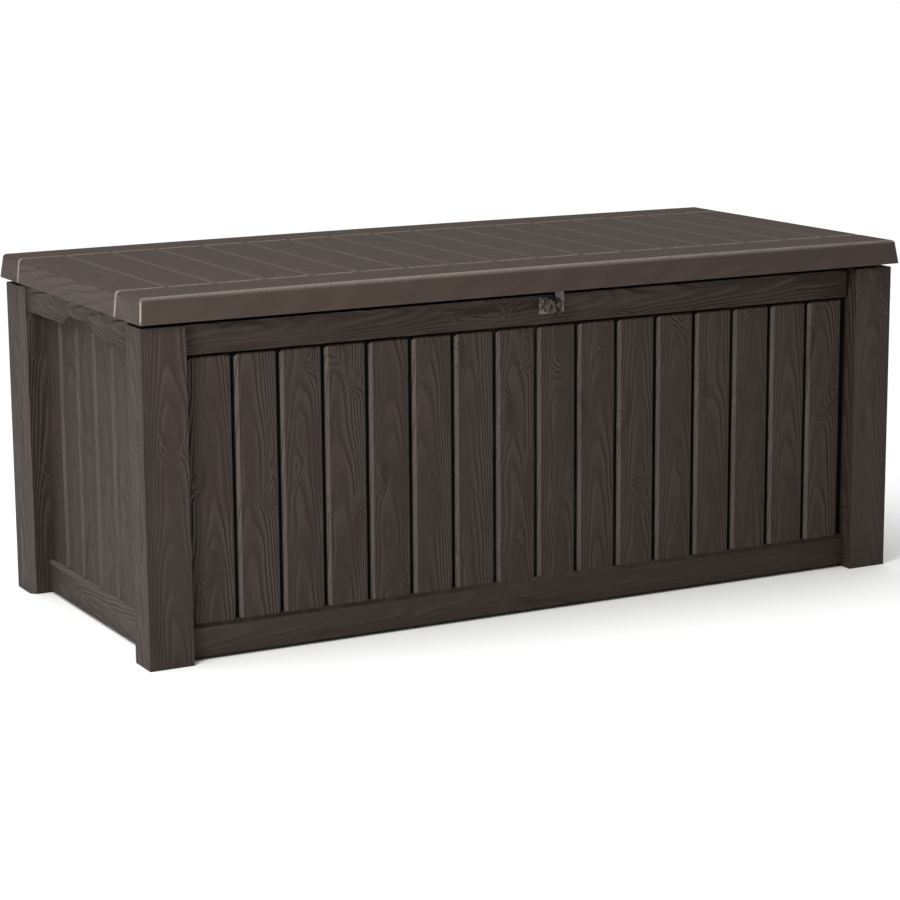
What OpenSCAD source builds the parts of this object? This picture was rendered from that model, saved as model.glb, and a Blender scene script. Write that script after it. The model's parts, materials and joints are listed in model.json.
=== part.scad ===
// Deck storage box with a hinged plank lid, recessed plank walls and two gas struts.
// Origin: middle of the footprint on the ground. +X right, +Y back, +Z up. Millimetres.

/* [Lid] */
// Width of the lid over its skirt
lid_w = 1550; // [1100:10:1900]
// Depth of the lid over its skirt
lid_d = 708; // [560:2:900]
// Height of the closed box over everything
overall_h = 640; // [500:5:800]
// Height of the lid's skirt
skirt_h = 46; // [38:1:60]
// How far each end of the skirt leans in at the top
flare_x = 4; // [0:1:8]
// How far the front and rear of the skirt lean in at the top
flare_y = 7; // [0:1:9]
// Radius of the lid's shoulder
shoulder_r = 8; // [4:1:12]
// Wall of the lid's skin
lid_wall = 4; // [3:0.5:6]
// Depth of the smooth strip along the lid's front
front_strip = 118; // [80:1:150]
// Depth of the smooth strip along the lid's rear
rear_strip = 99; // [70:1:140]
// Planks across the lid
lid_planks = 17; // [9:1:21]
// Width of the grooves in the lid
lid_groove_w = 5; // [3:1:8]
// Depth of the grooves in the lid
lid_groove_d = 1.5; // [1:0.5:2]

/* [Body] */
// Overhang of the lid past each end of the body
overhang_x = 7; // [5:1:15]
// Overhang of the lid past the front and the rear of the body
overhang_y = 17; // [12:1:24]
// Wall of the moulded panels
wall = 4; // [3:0.5:5]
// Width of a corner post seen from the front
post_w = 81; // [70:1:100]
// Width of a corner post seen from the side
post_side_w = 76; // [66:1:100]
// Chamfer on the post's edge beside the end wall
post_chamfer = 10; // [4:1:12]
// Gap between the post tops and the lid's skirt
post_gap = 8; // [4:1:12]
// Height of the rim that stands inside the lid, above the skirt's lower edge
rim_h = 18; // [12:1:20]
// Clear height under the walls
ground_gap = 7; // [4:1:20]

/* [Walls] */
// Setback of the front and back rails behind the posts
rail_back = 22; // [16:1:26]
// Setback of the planks behind the rails, on the front and the back
plank_back = 3; // [2:1:6]
// Setback of the planks behind the bottom rails, on the ends
side_plank_back = 7; // [4:1:10]
// Depth of the grooves between planks, on the front and the back
groove_d = 10; // [6:1:12]
// Depth of the grooves between planks, on the ends
side_groove_d = 6; // [4:1:8]
// Width of the grooves between planks
groove_w = 7; // [4:1:10]
// Chamfer along the planks
plank_chamfer = 5.5; // [1:0.5:7.5]
// Chamfer along the planks' tops
plank_top_chamfer = 2; // [1:0.5:4]
// Size of the cut across the planks' top corners
plank_corner = 5; // [1:0.5:6]
// Planks across the front and the back
front_planks = 16; // [9:1:20]
// Planks across each end
side_planks = 6; // [4:1:8]
// Height of the bottom rails
low_rail_h = 51; // [36:1:70]
// Rise of the bottom rails' sloping top
bevel_h = 7; // [4:1:10]
// Distance from the lid's skirt down to the long walls' top rails' lower edge
high_rail_h = 63; // [50:1:80]
// Distance from the lid's skirt down to the end walls' top rails' lower edge
side_high_rail_h = 54; // [44:1:70]
// Gap between the planks and the posts, on the front and the back
plank_end_gap = 13; // [4:1:20]
// Gap between the plank tops and the top rail
plank_gap = 5; // [4:1:14]
// Recess left above the front wall's top rail, under the lid's skirt
rail_reveal = 11; // [8:1:14]
// Setback of the end walls' top rails behind the posts
side_high_back = 11; // [10:1:14]
// Setback of the end walls' bottom rails behind the posts
side_low_back = 36; // [30:1:42]

/* [Handles] */
// Length of the grip notch under each end rail
grip_w = 185; // [120:1:220]
// Height of the grip notch
grip_h = 18; // [12:1:24]
// Length of the notch's sloping rear end
grip_slope = 28; // [14:1:36]
// Length of the notch's curved front end
grip_curve = 56; // [30:2:70]
// Distance of the grip's middle in front of the box's middle
grip_off = 25; // [0:1:30]

/* [Hinges] */
// Distance from the middle hinge to each outer hinge
hinge_step = 500; // [300:10:640]
// Width of a hinge
hinge_w = 90; // [60:5:120]
// Radius of the hinge barrel
barrel_r = 7; // [6:0.5:7.5]
// Radius of the hinge pin
hinge_pin_r = 3; // [2:0.5:4]
// Distance from the lid's rear edge in to the hinge axis
axis_in = 9; // [9:0.5:12]
// Distance from the skirt's lower edge down to the hinge axis
axis_drop = 7; // [7:0.5:10]

/* [Gas struts] */
// Distance from the hinge axis to the strut's pivot on the lid
strut_arm = 96; // [84:1:116]
// Angle of that pivot below the hinge axis, in degrees
strut_arm_drop = 6; // [3:1:9]
// Distance of the strut's lower pivot in front of the hinge axis
strut_foot_in = 100; // [84:1:124]
// Distance of the strut's lower pivot below the hinge axis
strut_foot_down = 260; // [220:1:320]
// Radius of the strut's cylinder
cylinder_r = 9; // [7:0.5:9]
// Radius of the strut's rod
rod_r = 4; // [3:0.5:5]
// Gap between an end wall and the strut's middle plane
strut_in = 13; // [12:0.5:16]
// Radius of the strut's pivot pins
strut_pin_r = 3; // [2.5:0.5:4]
// Angle of the fully open lid, in degrees
open_angle = 70; // [55:1:80]

/* [Hasp] */
// Distance of the hasp's middle to the right of the box's middle
hasp_x = 27; // [-60:1:60]
// Width of each hasp plate
hasp_plate_w = 18; // [14:1:26]
// Height of the plate on the wall
hasp_plate_h = 30; // [24:1:40]
// Gap between the two ears
hasp_gap = 14; // [8:1:24]
// Reach of the ears in front of the plates
hasp_reach = 27; // [20:1:34]
// Thickness of the hasp's steel
hasp_t = 2; // [1.5:0.5:3]
// Radius of the padlock holes
lock_r = 5; // [3:0.5:6]

/* [Hidden] */
$fn = 48;
gap = 0.3;          // clearance between separate pieces
fit = 0.05;         // radial clearance of a pin in its bore
floor_t = 4;        // thickness of the floor plates
ledge = 24;         // width of the ledge that carries the floor
flange = 16;        // depth of the strips that join the walls inside
strip_drop = 30;    // from the walls' rim down to those strips
rail_drop = 6;      // from the walls' rim down to the end walls' top rails
bar = 18;           // side of the lid's square stiffeners
bar_wall = 1.5;     // wall of the stiffeners
bar_inset = 60;     // from the liner's ends to the stiffeners' ends
rib_t = 2.5;        // thickness of the liner's and the floor's ribs
screw_r = 2;        // shank of every screw
head_r = 4.5;       // head of every screw
head_t = 2.4;
screw_l = 12;
short_screw_l = 6;   // screws that must not come out through a wall
boss_r = 5;          // bosses that the lid's screws go into

skirt_z = overall_h - skirt_h;
rim_z = skirt_z + rim_h;
post_z = skirt_z - post_gap;
bx = lid_w / 2 - overhang_x;              // outer faces of the posts
by = lid_d / 2 - overhang_y;
in_x = bx - post_w;                       // inner edge of the posts, seen from the front
in_y = by - post_side_w;                  // inner edge of the posts, seen from the side
rail_y = by - rail_back;                  // front and back walls, from the middle out
plank_y = rail_y - plank_back;
base_y = plank_y - groove_d;
wall_y = base_y - wall;
high_x = bx - side_high_back;             // end walls, from the middle out
low_x = bx - side_low_back;
plank_x = low_x - side_plank_back;
base_x = plank_x - side_groove_d;
wall_x = base_x - wall;
low_z = ground_gap;
bevel_z = low_z + low_rail_h;
plank_z = bevel_z + bevel_h;
high_z = skirt_z - high_rail_h;           // lower edges of the top rails
side_high_z = skirt_z - side_high_rail_h;
top_z = high_z - plank_gap;               // tops of the planks
end_x = in_x - gap;                       // ends of the front and back panels
field_w = 2 * (end_x - plank_end_gap);    // width of their planks together
flange_y = wall_y - flange;
liner_z = rim_z + gap;
floor_z = low_z + wall + gap;

hinge_y = lid_d / 2 - axis_in;
hinge_z = skirt_z - axis_drop;
hinge_x = [-hinge_step, 0, hinge_step];

strut_x = wall_x - strut_in;
foot = [hinge_y - strut_foot_in, hinge_z - strut_foot_down];
head = [hinge_y - strut_arm * cos(strut_arm_drop), hinge_z - strut_arm * sin(strut_arm_drop)];
// A point given as [y, z], carried round the hinge axis as the lid opens by a degrees
function swing(p, a) = let (v = p - [hinge_y, hinge_z])
    [hinge_y + v[0] * cos(a) + v[1] * sin(a), hinge_z - v[0] * sin(a) + v[1] * cos(a)];
head_open = swing(head, open_angle);
strut_l = norm(head - foot);
strut_open_l = norm(head_open - foot);
strut_tilt = atan2(head[1] - foot[1], head[0] - foot[0]);
strut_open_tilt = atan2(head_open[1] - foot[1], head_open[0] - foot[0]);
// The rod's end at lid angle a, with stroke and tilt in proportion to a
function rod_end(a) = let (t = a / open_angle,
    l = strut_l + (strut_open_l - strut_l) * t,
    w = strut_tilt + (strut_open_tilt - strut_tilt) * t) foot + l * [cos(w), sin(w)];
slot_end = swing(rod_end(open_angle / 2), -open_angle / 2);
slot_half = strut_pin_r + 2.6;            // half-width of the slot in the lid's bracket
eye_r = 8;
eye_t = 10;
end_len = 22;                             // from each pivot to the cylinder or the rod
foot_len = strut_l - end_len - 8;         // far end of the cylinder's tube
plate_t = 3;
foot_w = 44;                              // plate of the strut's lower bracket
foot_h = 32;
neck_r = 4.6;                             // necks of the strut's two end fittings

front_z = [low_z + 80, (low_z + high_z) / 2, high_z + 20];
hasp_z = skirt_z - 15 - hasp_plate_h / 2;
hasp_wall_x = hasp_x - hasp_gap / 2 - hasp_t;      // left side of the wall bracket's ear
hasp_lid_x = hasp_x + hasp_gap / 2;                // left side of the lid bracket's ear
hasp_face_y = -(rail_y + hasp_t);                  // front of the wall bracket's plate
hasp_hang_y = hasp_face_y - 3;                     // front of the lid bracket's plate
ear_h = hasp_plate_h - 2;
hasp_tip_y = hasp_face_y - hasp_reach;             // front of both ears
hasp_hole_y = hasp_tip_y + ear_h / 2;

// ---- shared shapes ----

// A block from its lowest to its highest corner
module block(a, b) { translate(a) cube(b - a); }

// A rectangle from its lowest to its highest corner
module block2(a, b) { translate(a) square(b - a); }

// A round bar along X from x0 to x1 at [y, z]
module bar_x(x0, x1, p, r) {
    translate([x0, p[0], p[1]]) rotate([0, 90, 0]) cylinder(r = r, h = x1 - x0);
}

// A [y, z] outline drawn out along X from x0 to x1
module slab_x(x0, x1) {
    translate([x0, 0, 0]) rotate([90, 0, 90]) linear_extrude(x1 - x0) children();
}

// A [x, z] outline drawn out along Y from y0 to y1
module slab_y(y0, y1) {
    translate([0, y1, 0]) rotate([90, 0, 0]) linear_extrude(y1 - y0) children();
}

// Draws to the left of the middle plane where s is -1
module flip_x(s) {
    if (s < 0) mirror([1, 0, 0]) children();
    else children();
}

// One screw at p, l long; its head stands on the surface that faces turn's +Z
module screw(p, turn, grow = 0, l = screw_l) {
    translate(p) rotate(turn) {
        translate([0, 0, -l - grow]) cylinder(r = screw_r + grow, h = l + 2 * grow);
        if (grow == 0) cylinder(r = head_r, h = head_t);
    }
}

// Planks along X: upright pads of depth d in front of y = 0, filling width w, sloping at sides and top
module planks(w, count, z0, z1, d) {
    pitch = (w + groove_w) / count;
    slope = min(plank_chamfer, d - 0.5);
    intersection() {
        for (i = [0 : count - 1])
            translate([-(w + groove_w) / 2 + pitch * i, 0, z0])
                linear_extrude(z1 - z0)
                    polygon([[groove_w / 2, 0.01], [pitch - groove_w / 2, 0.01],
                        [pitch - groove_w / 2, slope - d], [pitch - groove_w / 2 - slope, -d],
                        [groove_w / 2 + slope, -d], [groove_w / 2, slope - d]]);
        for (i = [0 : count - 1])
            translate([-(w + groove_w) / 2 + pitch * i, 1, 0]) rotate([90, 0, 0])
                linear_extrude(d + 2) plank_outline(groove_w / 2, pitch - groove_w / 2, z0, z1);
        slab_x(-w, w) polygon([[1, z0 - 1], [-d, z0 - 1], [-d, z1 - plank_top_chamfer],
            [plank_top_chamfer - d, z1], [1, z1]]);
    }
}

// A plank seen from the front, with 1 mm to spare except at its two cut corners
module plank_outline(x0, x1, z0, z1) {
    cut = plank_corner + 1;
    polygon([[x0 - 1, z0 - 1], [x1 + 1, z0 - 1], [x1 + 1, z1 - cut], [x1 - cut, z1 + 1],
        [x0 + cut, z1 + 1], [x0 - 1, z1 - cut]]);
}

// The hollow behind each plank, so that the wall keeps one thickness
module plank_hollows(w, count, z0, z1, d) {
    pitch = (w + groove_w) / count;
    for (i = [0 : count - 1])
        translate([-(w + groove_w) / 2 + pitch * i, 0, 0])
            block([groove_w / 2 + wall, -d, z0 + wall], [pitch - groove_w / 2 - wall, 1, z1 - wall]);
}

// ---- front and back walls ----

// rail_top and rail_end are the top and the half length of its top rail
module long_wall(rail_top, rail_end) {
    difference() {
        union() {
            block([-end_x, -base_y, low_z], [end_x, -wall_y, rim_z]);
            translate([0, -base_y, 0]) planks(field_w, front_planks, plank_z - 1, top_z, groove_d);
            slab_x(-end_x, end_x) polygon([[-wall_y - 0.5, low_z], [-rail_y, low_z], [-rail_y, bevel_z],
                [-plank_y, plank_z], [-wall_y - 0.5, plank_z]]);
            slab_x(-rail_end, rail_end) polygon([[-wall_y - 0.5, high_z], [-rail_y + 3, high_z],
                [-rail_y, high_z + 3], [-rail_y, rail_top], [-wall_y - 0.5, rail_top]]);
            block([-end_x, -wall_y - 0.5, low_z], [end_x, -wall_y + ledge, low_z + wall]);
        }
        translate([0, -wall_y, 0])
            plank_hollows(field_w, front_planks, plank_z, top_z, groove_d);
        slab_x(-end_x + wall, end_x - wall) polygon([[-wall_y + 1, low_z + wall], [-rail_y + wall, low_z + wall],
            [-rail_y + wall, bevel_z - wall], [-plank_y + wall, plank_z - wall], [-wall_y + 1, plank_z - wall]]);
        slab_x(-rail_end + wall, rail_end - wall) polygon([[-wall_y + 1, high_z + wall], [-rail_y + wall, high_z + wall],
            [-rail_y + wall, rail_top - wall], [-wall_y + 1, rail_top - wall]]);
    }
}

// A strip welded inside a long wall's end, which is screwed to the corner post, front right one
module corner_strip() {
    color("#3a2f2b") difference() {
        block([end_x - wall, -wall_y, low_z + wall], [end_x, -flange_y, rim_z - strip_drop]);
        join_screws(grow = fit);
    }
}

module front_strip_left() mirror([1, 0, 0]) corner_strip();
module front_strip_right() corner_strip();
module back_strip_left() rotate([0, 0, 180]) corner_strip();
module back_strip_right() rotate([0, 0, 180]) mirror([1, 0, 0]) corner_strip();

// Screws that join those strips to the corner posts, front pair only
module join_screws(grow = 0) {
    for (z = front_z, s = [-1, 1])
        screw([s * (end_x - wall), -flange_y - flange / 2, z], [0, -90 * s, 0], grow);
}

module front_panel() {
    color("#3a2f2b") difference() {
        long_wall(skirt_z - rail_reveal, end_x - rail_reveal / 2);
        hasp_wall_screws_at(grow = fit);
    }
}

module back_panel() {
    color("#3a2f2b") difference() {
        rotate([0, 0, 180]) long_wall(rim_z, end_x);
        hinge_body_screws_at(grow = fit);
    }
}

// ---- end walls with their corner posts ----

// A corner post at the front of the left end: two faces and two returns, open inside
module post() {
    difference() {
        union() {
            block([-bx, -by, 0], [-in_x, -by + wall, post_z]);
            block([-in_x - wall, -by, 0], [-in_x, -flange_y, post_z]);
            linear_extrude(post_z) polygon([[-bx, -by], [-bx + wall, -by],
                [-bx + wall, -in_y - post_chamfer - wall], [-bx + post_chamfer + wall, -in_y - wall],
                [-base_x, -in_y - wall], [-base_x, -in_y], [-bx + post_chamfer, -in_y],
                [-bx, -in_y - post_chamfer]]);
            post_plate(0, wall);
            post_plate(post_z - wall, post_z);
            block([-base_x, -base_y, post_z - wall], [-wall_x, -in_y, rim_z]);
            block([-base_x, -base_y, post_z - wall], [-in_x, -wall_y, rim_z]);
        }
        for (z = front_z) screw([-(end_x - wall), -flange_y - flange / 2, z], [0, 90, 0], fit);
    }
}

// The plate that closes a post at its foot or its top
module post_plate(z0, z1) {
    translate([0, 0, z0]) linear_extrude(z1 - z0) polygon([[-bx, -by], [-in_x, -by], [-in_x, -base_y],
        [-base_x, -base_y], [-base_x, -in_y], [-bx + post_chamfer, -in_y], [-bx, -in_y - post_chamfer]]);
}

// The left end wall, drawn looking along +X
module end_wall() {
    run = in_y + 0.5;
    difference() {
        union() {
            block([-base_x, -run, low_z], [-wall_x, run, rim_z]);
            translate([-base_x, 0, 0]) rotate([0, 0, -90])
                planks(2 * in_y - groove_w, side_planks, plank_z - 1, side_high_z + 6, side_groove_d);
            slab_end([[-low_x, low_z], [-low_x, bevel_z], [-plank_x, plank_z],
                [-wall_x - 0.5, plank_z], [-wall_x - 0.5, low_z]]);
            block([-wall_x - 0.5, -wall_y, low_z], [-wall_x + ledge, wall_y, low_z + wall]);
        }
        difference() {
            translate([-wall_x, 0, 0]) rotate([0, 0, -90])
                plank_hollows(2 * in_y - groove_w, side_planks, plank_z, side_high_z + 6, side_groove_d);
            block([-bx, foot[0] - foot_w / 2 - 2, foot[1] - foot_h / 2 - 2],
                [0, foot[0] + foot_w / 2 + 2, foot[1] + foot_h / 2 + 2]);
        }
        slab_hollow();
        strut_bracket_screws_at(-1, grow = fit);
    }
}

// An [x, z] outline drawn along the end wall between the posts
module slab_end(points) {
    slab_y(-in_y - 0.5, in_y + 0.5) polygon(points);
}

// The hollow inside the end wall's bottom rail
module slab_hollow() {
    slab_y(-in_y + wall, in_y - wall) polygon([[-low_x + wall, low_z + wall],
        [-low_x + wall, bevel_z - wall], [-plank_x + wall, plank_z - wall],
        [-wall_x + 1, plank_z - wall], [-wall_x + 1, low_z + wall]]);
}

// The end wall's top rail: a skin that stands in front of the wall and leaves a finger gap
module grip_rail() {
    top = rim_z - rail_drop;
    difference() {
        slab_y(-in_y, in_y) polygon([[-high_x, side_high_z], [-high_x, top], [-base_x, top],
            [-base_x, top - wall], [-high_x + wall, top - wall], [-high_x + wall, side_high_z]]);
        slab_x(-high_x - 1, -high_x + wall + 1) grip_outline();
    }
}

module left_grip_rail() { color("#453a35") grip_rail(); }
module right_grip_rail() { color("#453a35") mirror([1, 0, 0]) grip_rail(); }

// The grip notch's outline, as [y, z]
module grip_outline() {
    translate([-grip_off, side_high_z]) polygon(concat([[grip_w / 2, -1], [-grip_w / 2, -1]],
        [for (t = [0 : 0.125 : 1]) [grip_curve * t - grip_w / 2, grip_h * (1 - cos(180 * t)) / 2]],
        [[grip_w / 2 - grip_slope, grip_h], [grip_w / 2, 0]]));
}

module side_panel() {
    post();
    mirror([0, 1, 0]) post();
    end_wall();
}

module left_side_panel() { color("#453a35") side_panel(); }
module right_side_panel() { color("#453a35") mirror([1, 0, 0]) side_panel(); }

// ---- floor ----

// The right half of the floor: a plate on ribs, inside the walls' ledges
module floor_half() {
    half_y = flange_y - gap;
    far_x = wall_x - gap;
    block([gap / 2, -half_y, floor_z], [far_x, half_y, floor_z + floor_t]);
    for (i = [0 : 5])
        block([20 + i * (far_x - ledge - 60) / 5, -half_y + ledge, low_z],
            [20 + rib_t + i * (far_x - ledge - 60) / 5, half_y - ledge, floor_z + 0.1]);
    for (s = [-1, 0, 1]) translate([0, s * half_y * 0.6, 0])
        block([20, -rib_t / 2, low_z], [far_x - ledge - 38, rib_t / 2, floor_z + 0.1]);
}

module floor_panel_left() { color("#2d2623") mirror([1, 0, 0]) floor_half(); }
module floor_panel_right() { color("#2d2623") floor_half(); }
module panel_screws() {
    color("silver") {
        join_screws();
        rotate([0, 0, 180]) join_screws();
    }
}

// ---- hinges ----

// Five knuckles: the body leaf has three and the lid leaf has the two between them
knuckle = hinge_w / 5;
rear_screw_z = hinge_z - 30;

module hinge_body_leaf(x) {
    color("#2b2624") difference() {
        union() {
            translate([x, 0, 0]) block([-hinge_w / 2, rail_y, rear_screw_z - 12],
                [hinge_w / 2, rail_y + wall, hinge_z - barrel_r + 2]);
            for (i = [0, 2, 4]) {
                x0 = x - hinge_w / 2 + i * knuckle + (i > 0 ? gap / 2 : 0);
                x1 = x - hinge_w / 2 + (i + 1) * knuckle - (i < 4 ? gap / 2 : 0);
                bar_x(x0, x1, [hinge_y, hinge_z], barrel_r);
                slab_x(x0, x1) polygon([[rail_y + 1, hinge_z - 26], [rail_y + 1, hinge_z - barrel_r + 2],
                    [hinge_y - barrel_r + 2, hinge_z], [hinge_y, hinge_z - barrel_r + 1]]);
            }
        }
        bar_x(x - hinge_w, x + hinge_w, [hinge_y, hinge_z], hinge_pin_r + fit);
        hinge_body_screws_at(grow = fit);
    }
}

module hinge_lid_leaf(x) {
    back = hinge_y - 3;
    color("#2b2624") difference() {
        union() {
            translate([x, 0, 0]) block([-hinge_w / 2, back - wall, hinge_z + barrel_r + 1.5],
                [hinge_w / 2, back, liner_z - gap]);
            for (i = [1, 3]) {
                x0 = x - hinge_w / 2 + i * knuckle + gap / 2;
                x1 = x - hinge_w / 2 + (i + 1) * knuckle - gap / 2;
                bar_x(x0, x1, [hinge_y, hinge_z], barrel_r);
                block([x0, back - wall, hinge_z], [x1, back, hinge_z + barrel_r + 2]);
            }
            translate([x, 0, 0]) block([-hinge_w / 2, back - 22, liner_z - gap - wall],
                [hinge_w / 2, back, liner_z - gap]);
        }
        bar_x(x - hinge_w, x + hinge_w, [hinge_y, hinge_z], hinge_pin_r + fit);
        hinge_lid_screws_at(grow = fit);
    }
}

module hinge_pin(x) {
    color("silver") {
        bar_x(x - hinge_w / 2 - gap, x + hinge_w / 2 + gap, [hinge_y, hinge_z], hinge_pin_r);
        for (s = [-1, 1]) bar_x(x + s * (hinge_w / 2 + gap + 1) - 1, x + s * (hinge_w / 2 + gap + 1) + 1,
            [hinge_y, hinge_z], hinge_pin_r + 1.5);
    }
}

module hinge_body_screws_at(grow = 0) {
    for (x = hinge_x, s = [-1, 1])
        screw([x + s * hinge_w / 4, rail_y + wall, rear_screw_z], [-90, 0, 0], grow);
}

module hinge_lid_screws_at(grow = 0) {
    for (x = hinge_x, s = [-1, 1])
        screw([x + s * hinge_w / 3, hinge_y - 17, liner_z - gap - wall], [180, 0, 0], grow);
}

module hinge_body_leaf_left() { hinge_body_leaf(hinge_x[0]); }
module hinge_body_leaf_middle() { hinge_body_leaf(hinge_x[1]); }
module hinge_body_leaf_right() { hinge_body_leaf(hinge_x[2]); }
module hinge_lid_leaf_left() { hinge_lid_leaf(hinge_x[0]); }
module hinge_lid_leaf_middle() { hinge_lid_leaf(hinge_x[1]); }
module hinge_lid_leaf_right() { hinge_lid_leaf(hinge_x[2]); }
module hinge_pin_left() { hinge_pin(hinge_x[0]); }
module hinge_pin_middle() { hinge_pin(hinge_x[1]); }
module hinge_pin_right() { hinge_pin(hinge_x[2]); }
module hinge_body_screws() { color("silver") hinge_body_screws_at(); }
module hinge_lid_screws() { color("silver") hinge_lid_screws_at(); }

// ---- hasp ----

// A padlock ear from x0, one steel thick, reaching forward from y1
module ear(x0, y1) {
    difference() {
        union() {
            block([x0, hasp_hole_y, hasp_z - ear_h / 2], [x0 + hasp_t, y1, hasp_z + ear_h / 2]);
            bar_x(x0, x0 + hasp_t, [hasp_hole_y, hasp_z], ear_h / 2);
        }
        bar_x(x0 - 1, x0 + hasp_t + 1, [hasp_hole_y, hasp_z], lock_r);
    }
}

// The bracket on the wall: a plate with a rounded lower corner and an ear on its right
module hasp_wall_bracket() {
    x1 = hasp_wall_x + hasp_t;
    x0 = x1 - hasp_plate_w;
    color("#8d8681") difference() {
        union() {
            block([x0, hasp_face_y, hasp_z - hasp_plate_h / 2 + 5], [x1, -rail_y, hasp_z + hasp_plate_h / 2]);
            block([x0 + 5, hasp_face_y, hasp_z - hasp_plate_h / 2], [x1, -rail_y, hasp_z]);
            translate([x0 + 5, -rail_y, hasp_z - hasp_plate_h / 2 + 5]) rotate([90, 0, 0])
                cylinder(r = 5, h = hasp_t);
            ear(hasp_wall_x, hasp_face_y + 1);
        }
        hasp_wall_screws_at(grow = fit);
    }
}

// The bracket under the lid: a flange, a plate that hangs before the wall, and an ear on its left
module hasp_lid_bracket() {
    x0 = hasp_lid_x;
    x1 = x0 + hasp_plate_w;
    color("#8d8681") difference() {
        union() {
            block([x0, hasp_hang_y, hasp_z - hasp_plate_h / 2 + 2], [x1, hasp_hang_y + hasp_t, liner_z - gap]);
            block([x0, hasp_hang_y - 16, liner_z - gap - hasp_t], [x1, hasp_hang_y + 1, liner_z - gap]);
            ear(x0, hasp_hang_y + 1);
        }
        hasp_lid_screws_at(grow = fit);
    }
}

module hasp_wall_screws_at(grow = 0) {
    for (s = [-1, 1]) screw([hasp_wall_x - hasp_plate_w / 2 + hasp_t, hasp_face_y, hasp_z + s * 8 + 1],
        [90, 0, 0], grow);
}

module hasp_lid_screws_at(grow = 0) {
    screw([hasp_lid_x + hasp_plate_w / 2, hasp_hang_y - 9, liner_z - gap - hasp_t], [180, 0, 0], grow);
}

module hasp_wall_screws() { color("silver") hasp_wall_screws_at(); }
module hasp_lid_screws() { color("silver") hasp_lid_screws_at(); }

// ---- lid ----

// Points of a quarter circle round c from angle a0, over 90 degrees
function quarter(c, r, a0) = [for (i = [0 : 6]) c + r * [cos(a0 + i * 15), sin(a0 + i * 15)]];

// Half the lid's cross-section: half-width w at the skirt, lean f, inset by t all round
function lid_half(w, f, r, t) = let (w1 = w - t, h1 = overall_h - t, w2 = w1 - f)
    concat([[w1, skirt_z - (t > 0 ? 1 : 0)]], quarter([w2 - r, h1 - r], r, 0));

module lid_outline(w, f, r, t) {
    half = lid_half(w, f, r, t);
    polygon(concat(half, [for (i = [len(half) - 1 : -1 : 0]) [-half[i][0], half[i][1]]]));
}

module lid_block(t) {
    intersection() {
        slab_y(-lid_d, lid_d) lid_outline(lid_w / 2, flare_x, shoulder_r - (t > 0 ? 3 : 0), t);
        slab_x(-lid_w, lid_w) lid_outline(lid_d / 2, flare_y, shoulder_r - (t > 0 ? 3 : 0), t);
    }
}

// The lid's outer skin: skirt, two strips and the planks between them
module lid_top_shell() {
    pitch = (lid_w - 2 * flare_x) / lid_planks;
    y0 = -lid_d / 2 + front_strip;
    y1 = lid_d / 2 - rear_strip;
    color("#5a4f4b") difference() {
        lid_block(0);
        lid_block(lid_wall);
        for (i = [1 : lid_planks - 1])
            translate([-lid_w / 2 + flare_x + i * pitch, 0, overall_h - lid_groove_d])
                block([-lid_groove_w / 2, y0, 0], [lid_groove_w / 2, y1, 5]);
        for (y = [y0, y1]) block([-lid_w, y - 1, overall_h - 1], [lid_w, y + 1, overall_h + 1]);
    }
    color("#5a4f4b") difference() {
        for (p = lid_screw_points())
            translate([p[0], p[1], liner_z + wall - 1 + gap]) cylinder(r = boss_r, h = overall_h - lid_wall - rim_z - wall + 1);
        lid_screws_at(grow = fit);
    }
}

// Where the screws go up through the liner: the middles of its outer bays
function lid_screw_points() = [for (k = [0.5 : 2 : 6.5], sx = [-1, 1], sy = [-1, 1])
    [sx * k * rib_step_x, sy * 2.5 * rib_step_y]];

liner_x = lid_w / 2 - lid_wall - flare_x - 2;
liner_y = lid_d / 2 - lid_wall - flare_y - 2;
rib_step_x = liner_x / 7.5;
rib_step_y = liner_y / 3.4;
rib_top = overall_h - lid_wall - gap;
bar_y = [-liner_y * 0.45, liner_y * 0.45];

// The lid's ribbed liner, on which the lid rests on the rim
module lid_inner_panel() {
    color("#2d2623") difference() {
        union() {
            block([-liner_x, -liner_y, liner_z], [liner_x, liner_y, liner_z + wall - 1]);
            for (i = [-7 : 7]) translate([i * rib_step_x, 0, 0])
                block([-rib_t / 2, -liner_y + 8, liner_z + 1], [rib_t / 2, liner_y - 8, rib_top]);
            for (i = [-3 : 3]) translate([0, i * rib_step_y, 0])
                block([-liner_x + 8, -rib_t / 2, liner_z + 1], [liner_x - 8, rib_t / 2, rib_top]);
        }
        for (y = bar_y) block([-liner_x + bar_inset - gap, y - bar / 2 - gap, liner_z + wall - 1],
            [liner_x - bar_inset + gap, y + bar / 2 + gap, rib_top + 1]);
        hinge_lid_screws_at(grow = fit);
        hasp_lid_screws_at(grow = fit);
        lid_screws_at(grow = fit);
        for (s = [-1, 1]) strut_upper_screws_at(s, grow = fit);
    }
}

// A square steel tube that stiffens the lid between the liner and the skin
module stiffener(y) {
    z0 = liner_z + wall - 1;
    color("gray") difference() {
        block([-liner_x + bar_inset, y - bar / 2, z0], [liner_x - bar_inset, y + bar / 2, z0 + bar]);
        block([-liner_x, y - bar / 2 + bar_wall, z0 + bar_wall],
            [liner_x, y + bar / 2 - bar_wall, z0 + bar - bar_wall]);
    }
}

// Screws up through the liner, in the middles of its outer bays
module lid_screws_at(grow = 0) {
    for (p = lid_screw_points()) screw([p[0], p[1], liner_z], [180, 0, 0], grow);
    if (grow == 0) for (s = [-1, 1]) strut_upper_screws_at(s);
}

module lid_stiffener_front() { stiffener(bar_y[0]); }
module lid_stiffener_rear() { stiffener(bar_y[1]); }
module lid_screws() { color("silver") lid_screws_at(); }

// ---- gas struts; drawn on the left, s = -1, and mirrored for the right, s = 1 ----

// Moves what is drawn along +Y from the origin onto the closed strut's line
module on_strut(s) {
    translate([s * strut_x, foot[0], foot[1]]) rotate([strut_tilt, 0, 0]) children();
}

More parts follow.
